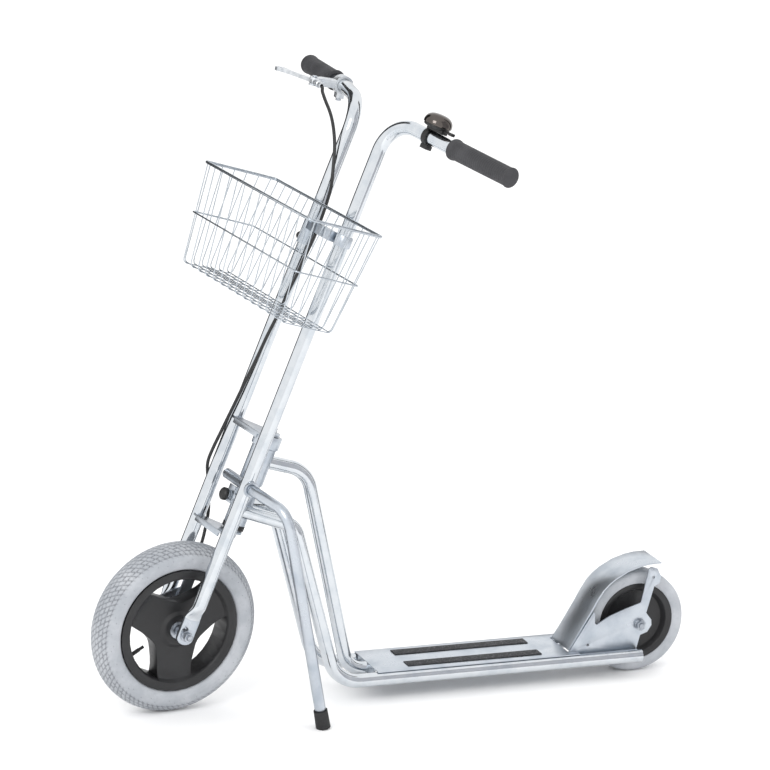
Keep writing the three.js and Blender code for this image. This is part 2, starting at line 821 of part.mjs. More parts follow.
// Turns basket geometry nose down about the middle of its top rear edge.
function tipped(geometry) {
  const [x, , z] = at(BASKET_BACK[1], 0, BASKET_RIM);
  return geometry.translate(-x, 0, -z).rotateY(-BASKET_TIP).translate(x, 0, z);
}

function addBasket() {
  const foot = [BASKET_BACK[0], BASKET_FRONT[0], BASKET_HALF];
  const top = [BASKET_BACK[1] + 1, BASKET_FRONT[1] - 0.5, BASKET_HALF];
  const outer = taperedBlock(foot, top, BASKET_FLOOR, BASKET_TOP, 0.03);
  const w = BASKET_WALL;
  const slack = 40; // the hollow runs on above the rim
  const rise = (slack + w) / (BASKET_TOP - BASKET_FLOOR);
  const inner = taperedBlock(
    [foot[0] + w, foot[1] - w, BASKET_HALF - w],
    [top[0] + w + (top[0] - foot[0]) * rise, top[1] - w + (top[1] - foot[1]) * rise, BASKET_HALF - w],
    BASKET_FLOOR + w,
    BASKET_TOP + slack,
    0.02,
  );
  piece(steering, 'basket', tipped(cut(outer, inner)), zinc);
}

function addBasketRim() {
  const level = BASKET_RIM;
  const half = BASKET_HALF - 1;
  const [back, front] = [BASKET_BACK[1], BASKET_FRONT[1]];
  const corners = [[back, half], [front, half], [front, -half], [back, -half]];
  const points = [];
  for (let i = 0; i < 4; i += 1) {
    const [a, b] = corners[i];
    const [pa, pb] = corners[(i + 3) % 4];
    const [na, nb] = corners[(i + 1) % 4];
    const r = BASKET_CORNER;
    const before = [a + Math.sign(pa - a) * r, b + Math.sign(pb - b) * r];
    const after = [a + Math.sign(na - a) * r, b + Math.sign(nb - b) * r];
    const centre = [before[0] + after[0] - a, before[1] + after[1] - b];
    for (let k = 0; k <= 4; k += 1) {
      const phi = ((Math.PI / 2) * k) / 4;
      points.push([
        centre[0] + (before[0] - centre[0]) * Math.cos(phi) + (after[0] - centre[0]) * Math.sin(phi),
        centre[1] + (before[1] - centre[1]) * Math.cos(phi) + (after[1] - centre[1]) * Math.sin(phi),
      ]);
    }
  }
  const ringLine = points.map(([a, b]) => new THREE.Vector3(...at(a, b, level)));
  const halfA = ringLine.slice();
  const start = halfA[0].clone().lerp(halfA[halfA.length - 1], 0.5);
  const stations = [start, ...halfA, start.clone()];
  const path = new StationPath(
    stations.map((point, i) => {
      const before = stations[i === 0 ? stations.length - 2 : i - 1];
      const after = stations[i === stations.length - 1 ? 1 : i + 1];
      return { point, tangent: after.clone().sub(before).normalize() };
    }),
  );
  piece(steering, 'basket_rim', tipped(sweep(path, 2.8, 8)), zinc);
}

function addBasketBracket() {
  for (const [name, side, low] of [['bracket_clamp_left', 1, 740], ['bracket_clamp_right', -1, 712]]) {
    const [x, y] = at(0, side * FORK_HALF, 0);
    piece(steering, name, upright(ring(TUBE_R + GAP, 15.3, low, 760)).translate(x, y, 0), zinc);
  }
  const lowCorner = at(19.8, 42, 0);
  const highCorner = at(5, -42, 0);
  const bar = box(lowCorner[0], highCorner[0], lowCorner[1], highCorner[1], 741, 759);
  const slot = box(highCorner[0] - 7, highCorner[0] + 1, -30, 30, 744.5, 755.5);
  piece(steering, 'bracket_bar', cut(bar, slot), zinc);
  const knob = turned([[0, 0], [3, 0], [3, 8], [6.5, 9], [8, 12], [6.5, 16], [0, 17]], 16);
  placeAlong(piece(steering, 'basket_knob', knob, blackPlastic), at(-3, -73.4, 721), at(-3, -100, 721));
}

// ---- front wheel ----
const frontWheel = new THREE.Group();
frontWheel.position.set(...at(0, 0, 0));
steering.add(frontWheel);

// Leaf-shaped window: round the rim outside, bulging towards the hub inside, [x, z] about the axle.
function rimWindow(degrees) {
  const centre = THREE.MathUtils.degToRad(degrees);
  const half = THREE.MathUtils.degToRad(WINDOW_HALF);
  const points = [];
  for (let i = 0; i <= 8; i += 1) {
    const angle = centre - half + (2 * half * i) / 8;
    points.push([WINDOW_R * Math.cos(angle), WINDOW_R * Math.sin(angle)]);
  }
  for (let i = 1; i < 8; i += 1) {
    const share = i / 8;
    const angle = centre + half - 2 * half * share;
    const radius = WINDOW_R - WINDOW_DEPTH * Math.pow(Math.sin(Math.PI * share), WINDOW_FULLNESS);
    points.push([radius * Math.cos(angle), radius * Math.sin(angle)]);
  }
  return upright(plate(points, -60, 60));
}

function addFrontWheel() {
  const disc = turned([
    [16.3, -22],
    [28, -22],
    [34, -17],
    [80, -15],
    [93, -19],
    [98, -FRONT_RIM_HALF],
    [FRONT_RIM_R, -FRONT_RIM_HALF],
    [FRONT_RIM_R, -24],
    [105, -22],
    [105, 22],
    [FRONT_RIM_R, 24],
    [FRONT_RIM_R, FRONT_RIM_HALF],
    [98, FRONT_RIM_HALF],
    [93, 19],
    [80, 15],
    [34, 17],
    [28, 22],
    [16.3, 22],
    [16.3, -22],
  ], FRONT_SIDES);
  const windows = WINDOW_CENTRES.map(rimWindow);
  const valveHole = rod(4.2, 80, 125, 12).rotateZ(-Math.PI / 2).rotateY(-VALVE_ANGLE);
  piece(frontWheel, 'front_rim', cut(disc, ...windows, valveHole), blackPlastic);
  const major = FRONT_R - FRONT_TYRE_R;
  const arc = [];
  for (let i = 0; i <= 10; i += 1) {
    const angle = THREE.MathUtils.degToRad(-117 + (234 * i) / 10);
    arc.push([major + FRONT_TYRE_R * Math.cos(angle), FRONT_TYRE_R * Math.sin(angle)]);
  }
  const bead = [[FRONT_RIM_R + GAP, -23.6], [105 + GAP, -21.3]];
  const farBead = [[105 + GAP, 21.3], [FRONT_RIM_R + GAP, 23.6]];
  const tyre = turned([bead[1], bead[0], ...arc, ...farBead.reverse(), bead[1]], FRONT_SIDES);
  const valveBore = rod(4.2, 80, 125, 12).rotateZ(-Math.PI / 2).rotateY(-VALVE_ANGLE);
  piece(frontWheel, 'front_tyre', cut(tyre, valveBore), tyreGrey);
  const stem = turned([[0, 65], [2.8, 65], [2.8, 74], [3.6, 75], [3.6, 122], [0, 122]], 10);
  const valve = stem.rotateZ(-Math.PI / 2).rotateY(-VALVE_ANGLE);
  piece(frontWheel, 'valve_stem', valve, rubber);
  for (const [name, low] of [['front_bearing_left', -22], ['front_bearing_right', 12]]) {
    piece(frontWheel, name, ring(5.9, 16, low, low + 10), steel);
  }
  piece(frontWheel, 'brake_drum', turned([
    [17, 22.5],
    [34, 22.5],
    [36, 24],
    [36, 38.5],
    [32, 38.5],
    [32, 28],
    [17, 28],
    [17, 22.5],
  ], 32), steel);
}

function addFrontAxle() {
  const axle = turned([
    [0, -68],
    [5, -68],
    [5, -45.7],
    [9, -45.7],
    [9, -24],
    [5.7, -24],
    [5.7, 24],
    [9, 24],
    [9, 38.6],
    [5, 38.6],
    [5, 68],
    [0, 68],
  ]);
  piece(steering, 'front_axle', axle, steel).position.set(...at(0, 0, 0));
  for (const [name, side] of [['front_axle_nut_left', -1], ['front_axle_nut_right', 1]]) {
    const fastener = join(ring(5.3, 10.5, 52.3, 54.3), hexagon(8.7, 54.3, 63, 5.3));
    if (side < 0) {
      fastener.rotateZ(Math.PI);
    }
    piece(steering, name, fastener, steel).position.set(...at(0, 0, 0));
  }
}

function addHubBrake() {
  const hub = new THREE.Group();
  hub.position.set(...at(0, 0, 0));
  steering.add(hub);
  const disc = ring(5.3, 39, 39, 41.6, 32);
  const ear = box(10, 32, 39, 41.6, 20, 112);
  const shelf = box(12, 27, 39.5, 48.5, 108, 112);
  const backPlate = cut(
    join(disc, ear, shelf),
    rod(4.3, 20, 60, 12).translate(ARM_PIVOT[0], 0, ARM_PIVOT[1]),
    upright(rod(2.2, 90, 130, 12)).translate(20.5, 44.6, 0),
  );
  piece(hub, 'brake_back_plate', backPlate, zinc);
  const armOutline = [
    [ARM_PIVOT[0] - 9, ARM_PIVOT[1]],
    [ARM_PIVOT[0], ARM_PIVOT[1] - 9],
    [ARM_PIVOT[0] + 8, ARM_PIVOT[1] - 5],
    [ARM_TIP[0] + 4, ARM_TIP[1] - 7],
    [ARM_TIP[0] + 6, ARM_TIP[1] - 2],
    [ARM_TIP[0] + 2, ARM_TIP[1] + 5],
    [ARM_TIP[0] - 5, ARM_TIP[1] + 4],
    [ARM_PIVOT[0] - 4, ARM_PIVOT[1] + 8],
  ];
  const blade = upright(plate(armOutline, -44.4, -42.2));
  const spindle = rod(4, 38.9, 43, 12).translate(ARM_PIVOT[0], 0, ARM_PIVOT[1]);
  const anchor = rod(3.6, 43, 46, 12).translate(ARM_TIP[0], 0, ARM_TIP[1]);
  piece(hub, 'brake_arm', join(blade, spindle, anchor), zinc);
  const ferrule = join(
    upright(turned([[0, 112.4], [4.6, 112.4], [4.6, 121], [0, 121]], 12)),
    upright(rod(1.9, 80, 113, 10)),
  );
  piece(hub, 'cable_stop', ferrule, steel).position.set(20.5, 44.6, 0);
}

// ---- stand ----
function addStand() {
  const [x, , z] = at(STAND_FORE, 0, STAND_UP);
  const sleeve = join(
    ring(STAND_PIN_R + GAP, STAND_SLEEVE_R, -71, 20, 20),
    ring(STAND_PIN_R + GAP, 14, -76, -70.7 - GAP, 20),
  );
  piece(steering, 'stand_sleeve', sleeve, zinc).position.set(x, 0, z);
  const corner = new THREE.Vector3(...at(...STAND_CORNER));
  const toe = new THREE.Vector3(...at(...STAND_TOE));
  const down = toe.clone().sub(corner).normalize();
  const legEnd = toe.clone().addScaledVector(down, -22);
  const pin = rod(STAND_PIN_R, -90, 22, 16).translate(x, 0, z);
  const arm = tube([[x, -79, z], [...corner.toArray(), STAND_BEND], legEnd.toArray()], STAND_TUBE_R);
  piece(steering, 'stand_leg', join(arm, pin), zinc);
  const boot = turned([
    [STAND_TUBE_R + GAP, -16],
    [12.6, -16],
    [13.4, 18],
    [0, 18],
    [0, GAP],
    [STAND_TUBE_R + GAP, GAP],
    [STAND_TUBE_R + GAP, -16],
  ].map(([r, y]) => [r, -y]).reverse(), 16);
  const turn = new THREE.Quaternion().setFromUnitVectors(new THREE.Vector3(0, -1, 0), down);
  boot.applyQuaternion(turn).translate(...legEnd.toArray());
  const ground = box(-200, 400, -400, 200, -200, 0); // everything under the ground, in the scooter's frame
  steering.updateMatrix();
  ground.applyMatrix4(steering.matrix.clone().invert());
  piece(steering, 'stand_foot', cut(boot, ground), rubber);
}

function addStandLock() {
  const lock = new THREE.Group();
  lock.position.set(...at(0, 22, 258));
  steering.add(lock);
  // local: -X ahead, Y right, Z up
  const bracket = box(-5, -2, -11, 11, -12, 19);
  const barrel = rod(7, -14, 10, 16).rotateZ(Math.PI / 2);
  const hex = hexagon(9.5, 2.5, 8).rotateZ(Math.PI / 2);
  const bore = rod(3.3, -40, 40, 12).rotateZ(Math.PI / 2);
  const saddle = acrossTool(STAND_SLEEVE_R + GAP, STAND_FORE, STAND_UP, -90, 90).translate(
    -at(0, 0, 0)[0],
    22,
    -258,
  );
  piece(lock, 'lock_plunger', cut(join(bracket, barrel, hex), bore, saddle), zinc);
  const knob = turned([[0, -18], [3, -18], [3, 10.5], [7, 11], [11.5, 12.5], [11.5, 18.5], [8, 21.5], [0, 22]], 20);
  piece(lock, 'lock_knob', knob.rotateZ(Math.PI / 2), blackPlastic);
}

addHead();
addTubes();
addDeck();
addRear();
addRearWheel();
addFork();
addCrossPlates();
addGrip('grip_left', 1, BAR_LIFT.left);
addGrip('grip_right', -1, BAR_LIFT.right);
addBrakeControls();
addCable();
addBell();
addBasket();
addBasketRim();
addBasketBracket();
addFrontWheel();
addFrontAxle();
addHubBrake();
addStand();
addStandLock();

export default scooter;
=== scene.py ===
import bpy
import bmesh
import json
import math
from mathutils import Matrix, Vector


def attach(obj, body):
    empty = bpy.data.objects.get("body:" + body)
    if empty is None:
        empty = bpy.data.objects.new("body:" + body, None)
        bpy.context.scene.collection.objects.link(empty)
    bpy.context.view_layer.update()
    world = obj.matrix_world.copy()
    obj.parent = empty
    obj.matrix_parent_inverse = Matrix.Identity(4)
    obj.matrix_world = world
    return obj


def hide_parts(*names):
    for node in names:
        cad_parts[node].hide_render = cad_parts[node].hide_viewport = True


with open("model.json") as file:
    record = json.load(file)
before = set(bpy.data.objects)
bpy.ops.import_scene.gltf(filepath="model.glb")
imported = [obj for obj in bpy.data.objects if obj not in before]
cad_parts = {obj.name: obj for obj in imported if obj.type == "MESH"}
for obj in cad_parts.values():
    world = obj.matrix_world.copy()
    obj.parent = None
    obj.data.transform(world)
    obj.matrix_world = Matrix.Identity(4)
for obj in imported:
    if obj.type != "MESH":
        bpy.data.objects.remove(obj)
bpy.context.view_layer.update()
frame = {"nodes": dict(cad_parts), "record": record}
bodyOf = {}
for bodyName, members in frame["record"]["behaviour"]["bodies"].items():
    for member in members:
        bodyOf[member] = bodyName
print("frame loaded,", len(frame["nodes"]), "nodes")

place = {
    "shift": (-0.4186, -0.0012, 0.0),  # frame tubes' own zero to the middle of the scooter
    "steerFoot": (0.0377, 0.0, 0.1433),  # steering axis, level with the front axle
    "rake": 20.65,  # degrees, steering axis leans back
    "turn": 8.09,  # degrees, front end turned as it stands
    "forkAhead": 40.3,  # mm, fork tubes ahead of the steering axis
    "forkHalf": 57.8,  # fork tubes from the middle
    "barCorner": 980,  # up the fork, where the tubes bend out
    "barBend": 60,
    "rearAxle": (896.5, 0, 96.5),
}
tubeSize = {
    "radius": 12.5,  # mm
    "sides": 48,
    "arcStep": 4.0,  # degrees between rings in a bend
}

shift = Vector(place["shift"])
headSpace = Matrix.Translation(shift + Vector(place["steerFoot"]))
headSpace = headSpace @ Matrix.Rotation(math.radians(place["rake"]), 4, "Y") @ Matrix.Scale(0.001, 4)
frontSpace = headSpace @ Matrix.Rotation(math.radians(place["turn"]), 4, "Z")
frameSpace = Matrix.Translation(shift) @ Matrix.Scale(0.001, 4)
wheelSpace = frontSpace @ Matrix.Translation((-place["forkAhead"], 0, 0))
rearSpace = frameSpace @ Matrix.Translation(place["rearAxle"])


def at(ahead, left, up):
    return Vector((-(ahead + place["forkAhead"]), -left, up))


class Value:
    def __init__(self, shade, socket):
        self.shade = shade
        self.socket = socket

    def sum(self, operation, *others):
        return self.shade.sum(operation, self, *others)

    def __add__(self, other):
        return self.sum("ADD", other)

    def __radd__(self, other):
        return self.sum("ADD", other)

    def __sub__(self, other):
        return self.sum("SUBTRACT", other)

    def __rsub__(self, other):
        return self.shade.sum("SUBTRACT", other, self)

    def __mul__(self, other):
        return self.sum("MULTIPLY", other)

    def __rmul__(self, other):
        return self.sum("MULTIPLY", other)

    def __truediv__(self, other):
        return self.sum("DIVIDE", other)

    def __rtruediv__(self, other):
        return self.shade.sum("DIVIDE", other, self)

    def __pow__(self, other):
        return self.sum("POWER", other)

    def least(self, other):
        return self.sum("MINIMUM", other)

    def band(self, low, high):  # 0 below low, 1 above high
        settings = {"clamp": True, "interpolation_type": "SMOOTHSTEP"}
        return self.shade.node("ShaderNodeMapRange", settings, {0: self, 1: low, 2: high}, 0)


class Shade:
    def __init__(self, name):
        self.material = bpy.data.materials.new(name)
        self.material.use_nodes = True
        self.tree = self.material.node_tree
        self.bsdf = self.tree.nodes["Principled BSDF"]
        self.where = self.node("ShaderNodeTexCoord", {}, {}, "Object")

    def feed(self, socket, value):
        if isinstance(value, Value):
            self.tree.links.new(value.socket, socket)
        else:
            socket.default_value = value

    def node(self, kind, settings, sockets, out):
        made = self.tree.nodes.new(kind)
        for key, value in settings.items():
            setattr(made, key, value)
        for key, value in sockets.items():
            self.feed(made.inputs[key], value)
        return Value(self, made.outputs[out])

    def sum(self, operation, *values):
        return self.node("ShaderNodeMath", {"operation": operation}, dict(enumerate(values)), 0)

    def noise(self, scale, detail=3.0, rough=0.5, where=None):
        sockets = {"Vector": where or self.where, "Scale": scale, "Detail": detail, "Roughness": rough}
        return self.node("ShaderNodeTexNoise", {}, sockets, 0)

    def cells(self, scale, feature="F1", out="Distance", where=None):
        sockets = {"Vector": where or self.where, "Scale": scale}
        return self.node("ShaderNodeTexVoronoi", {"feature": feature}, sockets, out)

    def stretch(self, x, y, z):
        settings = {"operation": "MULTIPLY"}
        return self.node("ShaderNodeVectorMath", settings, {0: self.where, 1: (x, y, z)}, 0)

    def blend(self, factor, first, second):
        def colour(value):
            return value if isinstance(value, Value) else (*value, 1.0)
        sockets = {0: factor, 6: colour(first), 7: colour(second)}
        return self.node("ShaderNodeMix", {"data_type": "RGBA"}, sockets, 2)

    def facing(self, blend=0.5):
        return self.node("ShaderNodeLayerWeight", {}, {"Blend": blend}, "Facing")

    def bump(self, height, distance, strength=1.0):
        sockets = {"Strength": strength, "Distance": distance, "Height": height}
        normal = self.node("ShaderNodeBump", {}, sockets, 0)
        self.tree.links.new(normal.socket, self.bsdf.inputs["Normal"])

    def set(self, **sockets):
        for name, value in sockets.items():
            self.feed(self.bsdf.inputs[name.replace("_", " ")], value)


def linear(red, green, blue):
    def one(value):
        value = value / 255
        return value / 12.92 if value <= 0.04045 else ((value + 0.055) / 1.055) ** 2.4
    return (one(red), one(green), one(blue))


zincLook = {
    "bright": (208, 212, 216),
    "cloud": (195, 201, 207),
    # edge: painted dark reflection, laid on where the tube's surface turns away from the view
    "edge": (60, 65, 72),
    "rough": 0.06,
    "roughSpread": 0.03,
    "brushDepth": 0.000004,  # m
}


def zincMaterial(name, look, grain=1.0):
    shade = Shade(name)
    cloud = shade.noise(38 * grain, 4, 0.6)
    streak = shade.noise(260, 3, 0.6, shade.stretch(1, 1, 0.25))
    speck = shade.cells(520)
    base = shade.blend(cloud.band(0.4, 0.7), linear(*look["bright"]), linear(*look["cloud"]))
    # painted reflection: towards the rims, where the surface turns away from the view, the colour is
    # darkened to the edge colour, standing in for dark surroundings seen in the metal
    rim = shade.facing(0.5).band(0.66, 0.97)
    shade.set(Base_Color=shade.blend(rim * 0.9, base, linear(*look["edge"])))
    shade.set(Metallic=1.0)
    shade.set(Roughness=look["rough"] + cloud.band(0.3, 0.75) * look["roughSpread"] + streak * 0.06)
    shade.bump(streak * 0.6 + speck * 0.4 + cloud * 0.5, look["brushDepth"])
    return shade.material


def steelMaterial():
    shade = Shade("turnedSteel")
    cloud = shade.noise(90, 4)
    fine = shade.noise(900, 2)
    shade.set(Base_Color=shade.blend(cloud.band(0.35, 0.7), linear(190, 195, 202), linear(138, 144, 152)))
    shade.set(Metallic=1.0, Roughness=0.26 + cloud * 0.16 + fine * 0.08)
    shade.bump(fine + cloud, 0.00002)
    return shade.material


def castMaterial():
    shade = Shade("castSilver")
    cloud = shade.noise(60, 5)
    fine = shade.noise(1400, 2)
    shade.set(Base_Color=shade.blend(cloud.band(0.35, 0.7), linear(216, 219, 222), linear(176, 181, 187)))
    shade.set(Metallic=0.9, Roughness=0.3 + cloud * 0.12)
    shade.bump(fine * 0.7 + cloud, 0.00004)
    return shade.material


plasticLook = {
    "colour": (13, 13, 14),
    "worn": (24, 24, 26),
    "rough": 0.36,
    "grainDepth": 0.00006,
}


def plasticMaterial(name, look):
    shade = Shade(name)
    cloud = shade.noise(25, 4)
    grain = shade.noise(1300, 3)
    scuff = shade.noise(220, 5, 0.7, shade.stretch(1, 0.3, 1)).band(0.56, 0.7)
    worn = (cloud.band(0.4, 0.75) * 0.6 + scuff * 0.3).least(1.0)
    shade.set(Base_Color=shade.blend(worn, linear(*look["colour"]), linear(*look["worn"])))
    shade.set(Roughness=look["rough"] + grain * 0.1 + scuff * 0.12)
    shade.bump(grain + cloud * 0.6, look["grainDepth"])
    return shade.material


tyreLook = {
    "colour": (158, 162, 168),
    "dusty": (178, 181, 186),
    "worn": (142, 146, 152),
    # painted shade colour for the tread grooves and the small nibs
    "groovePaintedShade": (82, 84, 88),
    "grainDepth": 0.00012,
}


def tyreMaterial(name, look):
    shade = Shade(name)
    cloud = shade.noise(18, 5, 0.6)
    grain = shade.noise(900, 4, 0.65)
    dirt = shade.noise(75, 6, 0.7).band(0.5, 0.75)
    base = shade.blend(cloud.band(0.35, 0.7), linear(*look["colour"]), linear(*look["dusty"]))
    base = shade.blend(dirt * 0.4, base, linear(*look["worn"]))
    # painted shade: the tread grooves and nibs are darkened towards this colour, standing in for shade in
    # the recesses
    groovePaintedShade = shade.node("ShaderNodeAttribute", {"attribute_name": "groovePaintedShade"}, {}, "Fac")
    shade.set(Base_Color=shade.blend(groovePaintedShade * 0.85, base, linear(*look["groovePaintedShade"])))
    shade.set(Roughness=0.62 + grain * 0.2)
    shade.bump(grain + dirt * 0.5, look["grainDepth"])
    return shade.material


def rubberMaterial(name, dark, light, depth=0.0001):
    shade = Shade(name)
    cloud = shade.noise(30, 4)
    grain = shade.cells(700)
    shade.set(Base_Color=shade.blend(cloud.band(0.35, 0.7), linear(*dark), linear(*light)))
    shade.set(Roughness=0.55 + grain * 0.25)
    shade.bump(grain + cloud, depth)
    return shade.material


def gritMaterial():
    shade = Shade("gritStrip")
    grain = shade.cells(650)
    patch = shade.noise(40, 4)
    spark = shade.cells(900, "F1", "Color")
    bright = shade.node("ShaderNodeSeparateColor", {}, {0: spark}, 0).band(0.8, 0.97)
    base = shade.blend(patch, linear(30, 31, 34), linear(46, 47, 50))
    shade.set(Base_Color=shade.blend(bright * 0.5, base, linear(110, 112, 116)))
    shade.set(Roughness=0.8 - bright * 0.4)
    shade.bump(grain, 0.0005)
    return shade.material


def bellMaterial():
    shade = Shade("smokedChrome")
    cloud = shade.noise(70, 4)
    smear = shade.noise(300, 4, 0.7).band(0.55, 0.75)
    shade.set(Base_Color=shade.blend(cloud, linear(78, 74, 72), linear(104, 98, 94)))
    shade.set(Metallic=1.0, Roughness=0.09 + smear * 0.12)
    shade.bump(cloud + smear, 0.00001)
    return shade.material


zinc = zincMaterial("zincTube", zincLook)
sheetLook = {
    **zincLook,
    "bright": (192, 198, 205),
    "cloud": (176, 184, 193),
    # edge: painted dark reflection at the rims of the sheet parts
    "edge": (120, 128, 138),
    "rough": 0.24,
    "roughSpread": 0.1,
}
wireLook = {
    **zincLook,
    "bright": (190, 196, 202),
    "cloud": (168, 176, 184),
    # edge: painted dark reflection at the rims of the basket wires
    "edge": (84, 91, 100),
    "rough": 0.18,
}
zincSheet = zincMaterial("zincSheet", sheetLook, 0.6)
wireZinc = zincMaterial("zincWire", wireLook, 2.0)
steel = steelMaterial()
cast = castMaterial()
blackPlastic = plasticMaterial("blackPlastic", plasticLook)
rimPlastic = plasticMaterial("rimPlastic", {**plasticLook, "colour": (25, 25, 27), "worn": (35, 36, 38)})
cableBlack = plasticMaterial("cableSheath", {**plasticLook, "colour": (26, 27, 28), "rough": 0.34})
tyreGrey = tyreMaterial("greyTyre", tyreLook)
gripRubber = rubberMaterial("gripRubber", (48, 48, 51), (60, 60, 63))
darkRubber = rubberMaterial("darkRubber", (22, 22, 23), (36, 36, 38))
grit = gritMaterial()
bellChrome = bellMaterial()
print("materials made")


def show(name, bm, body, material, replaces=(), sharp=38):
    bmesh.ops.recalc_face_normals(bm, faces=bm.faces)
    mesh = bpy.data.meshes.new(name)
    bm.to_mesh(mesh)
    bm.free()
    for face in mesh.polygons:
        face.use_smooth = True
    mesh.set_sharp_from_angle(angle=math.radians(sharp))
    mesh.materials.append(material)
    made = bpy.data.objects.new(name, mesh)
    bpy.context.scene.collection.objects.link(made)
    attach(made, body)
    if replaces:
        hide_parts(*replaces)


def rounded(corners, step):  # corners are (point, bend radius); returns the points of the centre line
    points = [corners[0][0]]
    for before, corner, after in zip(corners, corners[1:], corners[2:]):
        middle, bend = corner
        back = (before[0] - middle).normalized()
        on = (after[0] - middle).normalized()
        opening = back.angle(on)
        if bend <= 0 or opening > math.pi - 0.001:
            points.append(middle)
            continue
        reach = bend / math.tan(opening / 2)
        turned = math.pi - opening
        centre = middle + (back + on).normalized() * (bend / math.sin(opening / 2))
        start = middle + back * reach - centre
        axis = back.cross(on).normalized()
        count = max(3, math.ceil(math.degrees(turned) / step))
        for i in range(count + 1):
            points.append(centre + Matrix.Rotation(-turned * i / count, 4, axis) @ start)
    points.append(corners[-1][0])
    return points


def curved(points, count):  # smooth line through the points
    line = []
    ends = [points[0] * 2 - points[1]] + points + [points[-1] * 2 - points[-2]]
    for i in range(1, len(ends) - 2):
        a, b, c, d = ends[i - 1:i + 3]
        for k in range(count):
            t = k / count
            line.append(0.5 * (2 * b + (c - a) * t + (2 * a - 5 * b + 4 * c - d) * t * t
                               + (3 * b - a - 3 * c + d) * t ** 3))
    line.append(points[-1])
    return line


def sweep(bm, space, points, radius, sides, closed=False, shape=None):
    radii = radius if isinstance(radius, list) else [radius] * len(points)
    count = len(points)
    rings = []
    across = None
    for i, point in enumerate(points):
        before = points[(i - 1) % count] if closed or i else point
        after = points[(i + 1) % count] if closed or i < count - 1 else point
        along = (after - before).normalized()
        if across is None:
            across = along.orthogonal().normalized() if abs(along.y) > 0.9 else Vector((0, 1, 0))
        across = (across - along * across.dot(along)).normalized()
        other = along.cross(across)
        turn = Matrix((across, other, along)).transposed().to_4x4()
        ring = bmesh.ops.create_circle(bm, radius=radii[i], segments=sides,
                                       matrix=space @ Matrix.Translation(point) @ turn)["verts"]
        if shape:
            shape(i, ring)
        rings.append(ring)
    edges = [list({edge for vert in ring for edge in vert.link_edges}) for ring in rings]
    pairs = list(zip(edges, edges[1:])) + ([(edges[-1], edges[0])] if closed else [])
    for first, second in pairs:
        bmesh.ops.bridge_loops(bm, edges=first + second)
    if not closed:
        bmesh.ops.contextual_create(bm, geom=edges[0])
        bmesh.ops.contextual_create(bm, geom=edges[-1])


def spun(bm, space, profile, steps=128):  # profile of (radius, height) about the space's Z
    made = [bm.verts.new(space @ Vector((r, 0, h))) for r, h in profile]
    lines = [bm.edges.new(pair) for pair in zip(made, made[1:])]
    if profile[0][0] > 0:
        lines.append(bm.edges.new((made[-1], made[0])))
    axis = (space.to_3x3() @ Vector((0, 0, 1))).normalized()
    bmesh.ops.spin(bm, geom=made + lines, cent=space.translation, axis=axis, angle=math.tau,
                   steps=steps, use_merge=True)
    onAxis = [v for v in bm.verts if v.is_valid and (v.co - space.translation).cross(axis).length < 1e-7]
    bmesh.ops.remove_doubles(bm, verts=onAxis, dist=1e-6)


aboutY = Matrix.Rotation(-math.pi / 2, 4, "X")  # Z of a turned shape onto Y


def refined(node, material, bevel=0.35, segments=2, sharp=32):
    bm = bmesh.new()
    bm.from_mesh(frame["nodes"][node].data)
    bmesh.ops.remove_doubles(bm, verts=bm.verts, dist=2e-6)
    bmesh.ops.dissolve_degenerate(bm, edges=bm.edges, dist=1e-6)
    bmesh.ops.dissolve_limit(bm, angle_limit=math.radians(0.8), verts=bm.verts, edges=bm.edges)
    if bevel:
        corners = [e for e in bm.edges if len(e.link_faces) == 2
                   and e.calc_face_angle(0) > math.radians(sharp)]
        bmesh.ops.bevel(bm, geom=corners, offset=bevel / 1000, segments=segments, profile=0.5,
                        affect="EDGES", clamp_overlap=True, material=-1)
    bmesh.ops.triangulate(bm, faces=[f for f in bm.faces if len(f.verts) > 4])
    show(node + "_look", bm, bodyOf[node], material, (node,), sharp)


kinkOut, endOut = 155, 366  # mm from the middle
barKink = {1: at(-25, kinkOut, 977), -1: at(-25, -kinkOut, 990)}  # left and right bars
barEnd = {1: at(-65, endOut, 972), -1: at(-65, -endOut, 994)}


def frontTube(side):
    out = side * place["forkHalf"]
    corners = [(at(0, out, forkLook["roundAbove"]), 0), (at(0, out, place["barCorner"]), place["barBend"]),
               (barKink[side], 150), (barEnd[side], 0)]
    return rounded(corners, tubeSize["arcStep"])


forkLook = {
    "footEnd": -17.0,  # mm above the axle
    "flatBelow": 30.0,
    "roundAbove": 60.0,
    "tabMiddle": 49.0,  # from the middle plane
    "tabHalf": 3.0,
    "tabWidth": 16.0,
}


def makeFork(name, side):
    print("fork tube", name)
    look = forkLook
    bm = bmesh.new()
    heights = [look["flatBelow"] + (look["roundAbove"] - look["flatBelow"]) * i / 10 for i in range(10)]
    points = [at(0, side * place["forkHalf"], h) for h in heights] + frontTube(side)
    back = frontSpace.inverted()

    def press(i, ring):
        share = max(0.0, 1 - i / 10)
        share = share * share * (3 - 2 * share)
        if not share:
            return
        centre = points[i]
        for vert in ring:
            local = back @ vert.co
            x = local.x - centre.x
            y = local.y - centre.y
            angle = math.atan2(y, x)
            c, s = math.cos(angle), math.sin(angle)
            flatX = math.copysign(abs(c) ** 0.35, c) * look["tabWidth"]
            flatY = math.copysign(abs(s) ** 0.35, s) * look["tabHalf"]
            local.x = centre.x + x + (flatX - x) * share
            middle = -side * look["tabMiddle"]
            local.y = (centre.y + y) * (1 - share) + (middle + flatY) * share
            vert.co = frontSpace @ local

    sweep(bm, frontSpace, points, tubeSize["radius"], tubeSize["sides"], shape=press)
    show(name + "_round", bm, "front_end", zinc, (name,))


makeFork("fork_tube_left", 1)
makeFork("fork_tube_right", -1)


